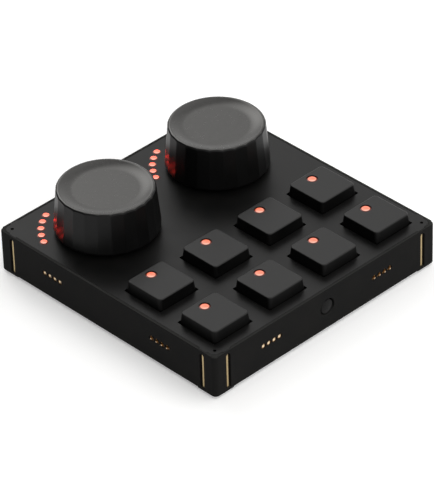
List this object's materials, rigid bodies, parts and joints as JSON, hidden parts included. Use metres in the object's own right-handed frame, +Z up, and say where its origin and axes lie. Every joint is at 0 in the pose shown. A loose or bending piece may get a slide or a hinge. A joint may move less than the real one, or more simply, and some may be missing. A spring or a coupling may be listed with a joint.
{
  "type": "midi controller",
  "caption": "Square desktop control module with faceted jog knobs, arcs of lights, lit keys and magnetic docking sides with spring contacts.",
  "frame": {"origin": "on the desk under the middle of the case", "axes": "+Z up, -Y towards the user, +X to the user's right"},
  "size_m": [0.1074, 0.1074, 0.0349],
  "materials": {
    "case_shell": "moulded, smooth and matt",
    "face_laminate": "smooth, satin black",
    "keycap": "smooth satin",
    "knob": "polished facets, satin dish",
    "light_guide": "translucent, lit from below",
    "gold_plate": "gold plated",
    "brass": "turned",
    "steel": "turned",
    "plated_steel": "nickel plated",
    "encoder_case": "die cast",
    "board": "glass-fibre board with solder mask",
    "chip": "moulded",
    "led": "ceramic and clear resin",
    "switch_housing": "moulded",
    "key_stem": "moulded",
    "contact_block": "moulded",
    "inner_plastic": "moulded",
    "case_button": "moulded, smooth",
    "rubber": "matt"
  },
  "bodies": {
    "case": {"case_frame": "case_shell", "face_plate": "face_laminate", "base_cover": "case_shell", "main_board": "board", "board_chips": "chip", "standoffs": "brass", "base_screws": "steel", "rubber_feet": "rubber", "rod_magnets": "gold_plate", "dock_blocks": "contact_block", "contact_pads": "gold_plate", "pin_sleeves": "gold_plate", "switch_bases": "switch_housing", "switch_covers": "switch_housing", "switch_springs": "steel", "key_leds": "led", "arc_leds": "led", "light_guides": "light_guide", "encoder_bodies": "encoder_case", "encoder_washers": "plated_steel", "encoder_nuts": "plated_steel", "usb_shell": "plated_steel", "usb_tongue": "inner_plastic", "tact_switch": "plated_steel"},
    "key_1": {"keycap_1": "keycap", "key_window_1": "light_guide", "key_stem_1": "key_stem"},
    "key_2": {"keycap_2": "keycap", "key_window_2": "light_guide", "key_stem_2": "key_stem"},
    "key_3": {"keycap_3": "keycap", "key_window_3": "light_guide", "key_stem_3": "key_stem"},
    "key_4": {"keycap_4": "keycap", "key_window_4": "light_guide", "key_stem_4": "key_stem"},
    "key_5": {"keycap_5": "keycap", "key_window_5": "light_guide", "key_stem_5": "key_stem"},
    "key_6": {"keycap_6": "keycap", "key_window_6": "light_guide", "key_stem_6": "key_stem"},
    "key_7": {"keycap_7": "keycap", "key_window_7": "light_guide", "key_stem_7": "key_stem"},
    "key_8": {"keycap_8": "keycap", "key_window_8": "light_guide", "key_stem_8": "key_stem"},
    "jog_left_carrier": {"plunger_left": "inner_plastic"},
    "jog_left": {"knob_left": "knob", "shaft_left": "steel"},
    "jog_right_carrier": {"plunger_right": "inner_plastic"},
    "jog_right": {"knob_right": "knob", "shaft_right": "steel"},
    "button": {"side_button": "case_button", "tact_plunger": "inner_plastic"},
    "front_pins": {"pins_front": "gold_plate"},
    "right_pins": {"pins_right": "gold_plate"},
    "rear_pins": {"pins_rear": "gold_plate"},
    "left_pins": {"pins_left": "gold_plate"}
  },
  "joints": [
    {"name": "key_1_press", "type": "slide", "parent": "case", "child": "key_1", "axis": [0, 0, -1], "range_m": [0, 0.003], "stiffness_N_per_m": 120, "springref_m": -0.002, "deforming": ["switch_springs"]},
    {"name": "key_2_press", "type": "slide", "parent": "case", "child": "key_2", "axis": [0, 0, -1], "range_m": [0, 0.003], "stiffness_N_per_m": 120, "springref_m": -0.002, "deforming": ["switch_springs"]},
    {"name": "key_3_press", "type": "slide", "parent": "case", "child": "key_3", "axis": [0, 0, -1], "range_m": [0, 0.003], "stiffness_N_per_m": 120, "springref_m": -0.002, "deforming": ["switch_springs"]},
    {"name": "key_4_press", "type": "slide", "parent": "case", "child": "key_4", "axis": [0, 0, -1], "range_m": [0, 0.003], "stiffness_N_per_m": 120, "springref_m": -0.002, "deforming": ["switch_springs"]},
    {"name": "key_5_press", "type": "slide", "parent": "case", "child": "key_5", "axis": [0, 0, -1], "range_m": [0, 0.003], "stiffness_N_per_m": 120, "springref_m": -0.002, "deforming": ["switch_springs"]},
    {"name": "key_6_press", "type": "slide", "parent": "case", "child": "key_6", "axis": [0, 0, -1], "range_m": [0, 0.003], "stiffness_N_per_m": 120, "springref_m": -0.002, "deforming": ["switch_springs"]},
    {"name": "key_7_press", "type": "slide", "parent": "case", "child": "key_7", "axis": [0, 0, -1], "range_m": [0, 0.003], "stiffness_N_per_m": 120, "springref_m": -0.002, "deforming": ["switch_springs"]},
    {"name": "key_8_press", "type": "slide", "parent": "case", "child": "key_8", "axis": [0, 0, -1], "range_m": [0, 0.003], "stiffness_N_per_m": 120, "springref_m": -0.002, "deforming": ["switch_springs"]},
    {"name": "jog_left_push", "type": "slide", "parent": "case", "child": "jog_left_carrier", "axis": [0, 0, -1], "range_m": [0, 0.0005], "stiffness_N_per_m": 3000, "springref_m": -0.0005},
    {"name": "jog_left_spin", "type": "hinge", "parent": "jog_left_carrier", "child": "jog_left", "pos_m": [-0.02665, 0.02665, 0.0175], "axis": [0, 0, 1], "continuous": true},
    {"name": "jog_right_push", "type": "slide", "parent": "case", "child": "jog_right_carrier", "axis": [0, 0, -1], "range_m": [0, 0.0005], "stiffness_N_per_m": 3000, "springref_m": -0.0005},
    {"name": "jog_right_spin", "type": "hinge", "parent": "jog_right_carrier", "child": "jog_right", "pos_m": [0.02665, 0.02665, 0.0175], "axis": [0, 0, 1], "continuous": true},
    {"name": "button_press", "type": "slide", "parent": "case", "child": "button", "axis": [0, 1, 0], "range_m": [0, 0.0005], "stiffness_N_per_m": 2500, "springref_m": -0.0004},
    {"name": "front_pins_press", "type": "slide", "parent": "case", "child": "front_pins", "axis": [0, 1, 0], "range_m": [0, 0.0006], "stiffness_N_per_m": 1500, "springref_m": -0.0004},
    {"name": "right_pins_press", "type": "slide", "parent": "case", "child": "right_pins", "axis": [-1, 0, 0], "range_m": [0, 0.0006], "stiffness_N_per_m": 1500, "springref_m": -0.0004},
    {"name": "rear_pins_press", "type": "slide", "parent": "case", "child": "rear_pins", "axis": [0, -1, 0], "range_m": [0, 0.0006], "stiffness_N_per_m": 1500, "springref_m": -0.0004},
    {"name": "left_pins_press", "type": "slide", "parent": "case", "child": "left_pins", "axis": [1, 0, 0], "range_m": [0, 0.0006], "stiffness_N_per_m": 1500, "springref_m": -0.0004}
  ]
}
